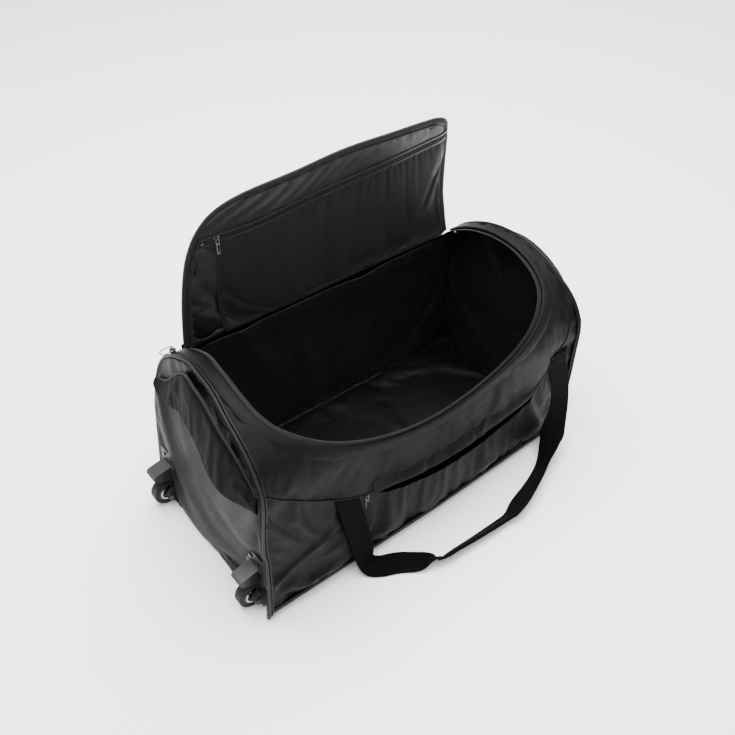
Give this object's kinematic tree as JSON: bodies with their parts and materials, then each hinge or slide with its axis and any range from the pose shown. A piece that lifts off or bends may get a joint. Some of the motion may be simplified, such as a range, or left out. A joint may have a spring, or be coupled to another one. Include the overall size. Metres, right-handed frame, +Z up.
{
  "type": "rolling duffel bag",
  "caption": "Soft rolling duffel with a fold-open top lid, zipped front pocket, carry straps, end grab bands and two corner wheels in moulded housings.",
  "frame": {"origin": "on the floor under the middle of the bag's bottom panel", "axes": "+X along the bag from the wheel end to the towing end, -Y the front with the zipped pocket, +Y the back with the lid fold, +Z up"},
  "size_m": [0.833, 0.6142, 0.642],
  "materials": {
    "shell_fabric": "coated polyester plain weave, slight sheen",
    "lining_fabric": "thin smooth lining cloth",
    "mesh_fabric": "fine knitted mesh",
    "binding": "woven tape and coil zip",
    "webbing": "matte ribbed webbing",
    "board": "plain sheet",
    "housing_plastic": "fine moulded grain",
    "tyre": "smooth solid tyre",
    "hub_plastic": "moulded",
    "wheel_trim": "bright ring",
    "bush_plastic": "natural nylon",
    "steel": "blackened",
    "zip_metal": "black gloss enamel"
  },
  "bodies": {
    "bag": {"bottom_panel": "shell_fabric", "base_board": "board", "back_panel": "shell_fabric", "front_yoke": "shell_fabric", "wheel_end_collar": "shell_fabric", "tow_end_collar": "shell_fabric", "front_pocket_panel": "shell_fabric", "front_inner_wall": "shell_fabric", "wheel_end_panel": "shell_fabric", "tow_end_panel": "shell_fabric", "lining": "lining_fabric", "lid_hinge_tape": "lining_fabric", "wheel_end_piping": "binding", "tow_end_piping": "binding", "main_zip_tape": "binding", "pocket_zip_tape": "binding", "wheel_end_handle": "webbing", "tow_end_handle": "webbing", "front_wheel_housing": "housing_plastic", "back_wheel_housing": "housing_plastic", "housing_rivets": "steel", "front_axle": "steel", "back_axle": "steel", "front_strap_anchors": "webbing", "back_strap_anchors": "webbing", "main_zip_slider": "zip_metal"},
    "lid": {"lid_panel": "shell_fabric", "lid_edge_tape": "binding", "lid_mesh_pocket": "mesh_fabric", "lid_pocket_binding": "binding", "lid_pocket_zip": "binding"},
    "lid_slider": {"lid_pocket_slider": "zip_metal"},
    "lid_pull": {"lid_pocket_pull": "zip_metal"},
    "front_slider": {"pocket_slider": "zip_metal"},
    "front_pull": {"pocket_pull": "zip_metal"},
    "zip_pull": {"main_zip_pull": "zip_metal"},
    "front_handle": {"front_strap": "webbing", "front_grip": "webbing"},
    "back_handle": {"back_strap": "webbing", "back_grip": "webbing"},
    "front_wheel": {"front_tyre": "tyre", "front_wheel_hub": "hub_plastic", "front_wheel_ring": "wheel_trim", "front_wheel_bush": "bush_plastic"},
    "back_wheel": {"back_tyre": "tyre", "back_wheel_hub": "hub_plastic", "back_wheel_ring": "wheel_trim", "back_wheel_bush": "bush_plastic"}
  },
  "joints": [
    {"name": "lid_fold", "type": "hinge", "parent": "bag", "child": "lid", "pos_m": [0, 0.155, 0.337], "axis": [1, 0, 0], "range_deg": [-80, 93]},
    {"name": "lid_slider_slide", "type": "slide", "parent": "lid", "child": "lid_slider", "axis": [1, 0, 0], "range_m": [0, 0.49]},
    {"name": "lid_pull_hinge", "type": "hinge", "parent": "lid_slider", "child": "lid_pull", "pos_m": [-0.23, 0.13329, 0.5515], "axis": [1, 0, 0], "range_deg": [-100, 0]},
    {"name": "front_slider_slide", "type": "slide", "parent": "bag", "child": "front_slider", "axis": [1, 0, 0], "range_m": [0, 0.39]},
    {"name": "front_pull_hinge", "type": "hinge", "parent": "front_slider", "child": "front_pull", "pos_m": [-0.166, -0.1912, 0.163], "axis": [1, 0, 0], "range_deg": [-150, 0]},
    {"name": "zip_pull_hinge", "type": "hinge", "parent": "bag", "child": "zip_pull", "pos_m": [-0.333, 0.146, 0.36], "axis": [0, 1, 0], "range_deg": [0, 150]},
    {"name": "front_handle_hinge", "type": "hinge", "parent": "bag", "child": "front_handle", "pos_m": [0, -0.1902, 0.197], "axis": [-1, 0, 0], "range_deg": [0, 170]},
    {"name": "back_handle_hinge", "type": "hinge", "parent": "bag", "child": "back_handle", "pos_m": [0, 0.1902, 0.197], "axis": [1, 0, 0], "range_deg": [0, 150]},
    {"name": "front_wheel_spin", "type": "hinge", "parent": "bag", "child": "front_wheel", "pos_m": [-0.391, -0.149, 0.029], "axis": [0, 1, 0], "continuous": true},
    {"name": "back_wheel_spin", "type": "hinge", "parent": "bag", "child": "back_wheel", "pos_m": [-0.391, 0.149, 0.029], "axis": [0, 1, 0], "continuous": true}
  ]
}
